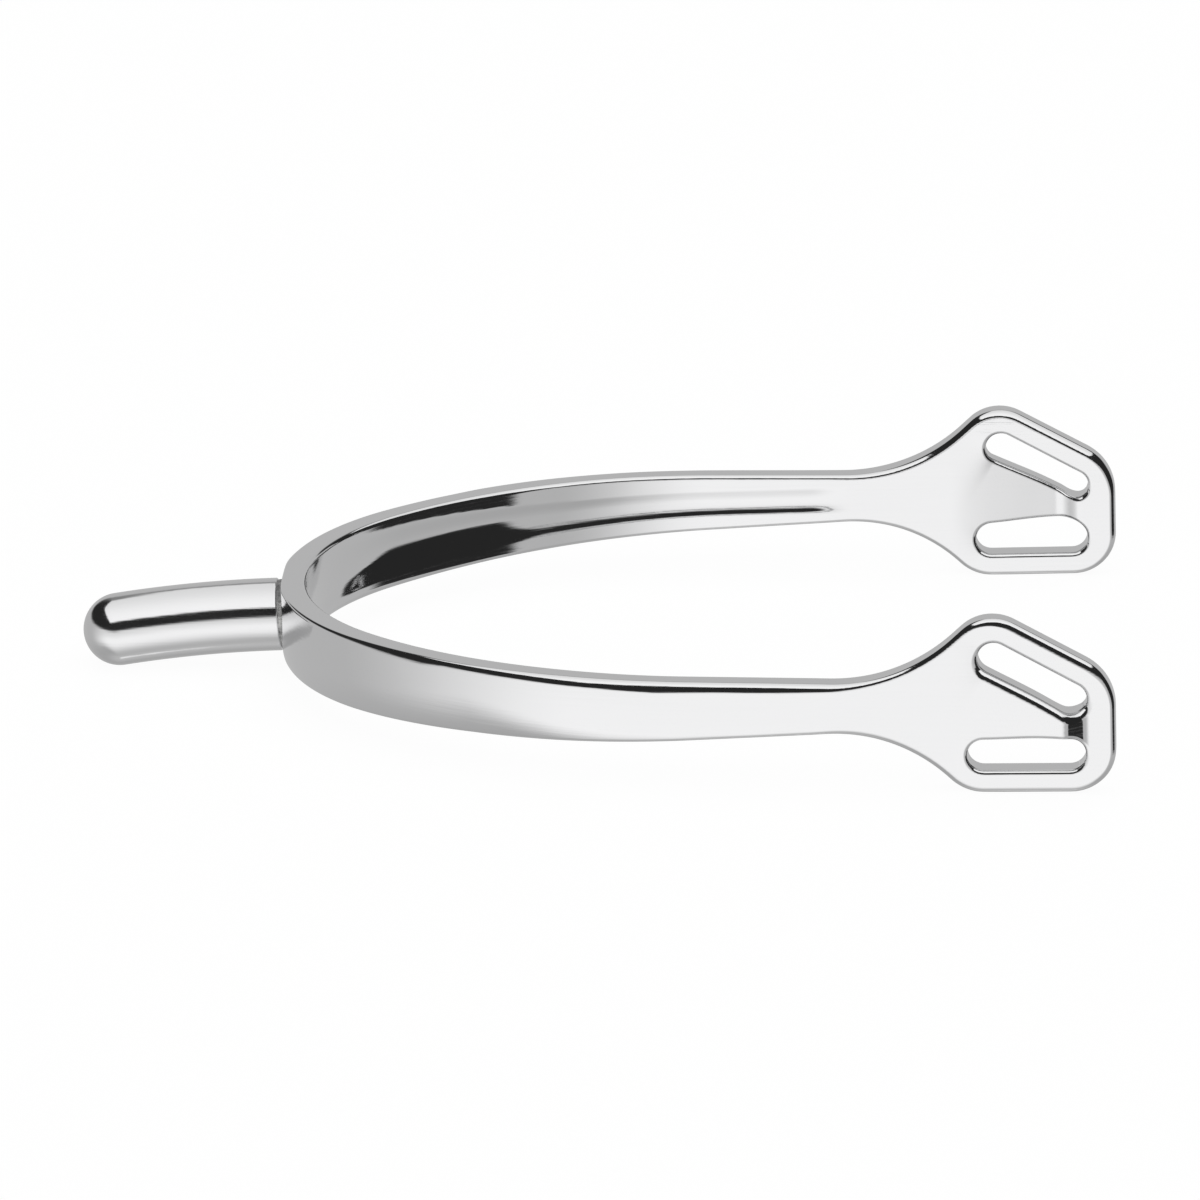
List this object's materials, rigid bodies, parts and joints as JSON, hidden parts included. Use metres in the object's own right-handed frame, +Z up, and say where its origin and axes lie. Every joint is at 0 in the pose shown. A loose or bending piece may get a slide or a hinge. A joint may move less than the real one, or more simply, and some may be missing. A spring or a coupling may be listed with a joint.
{
  "type": "riding spur",
  "caption": "Polished steel riding spur: U-shaped heel band, drooping round neck with a domed end, and strap slots at the end of each branch.",
  "frame": {"origin": "on the band's inner face at the back of the heel, halfway up the band", "axes": "+X forward from the heel to the toe, +Y to the wearer's far branch, +Z up; the two branches mirror each other across the XZ plane"},
  "size_m": [0.1136, 0.081, 0.0194],
  "materials": {
    "polished_steel": "mirror-polished stainless steel with fine handling scratches",
    "stud_steel": "peened and filed flush, then polished with the band",
    "braze": "rough silver solder line, tarnished dark"
  },
  "bodies": {
    "root": {"yoke": "polished_steel", "neck": "polished_steel", "neck_stud": "stud_steel", "braze_ring": "braze"}
  },
  "joints": []
}
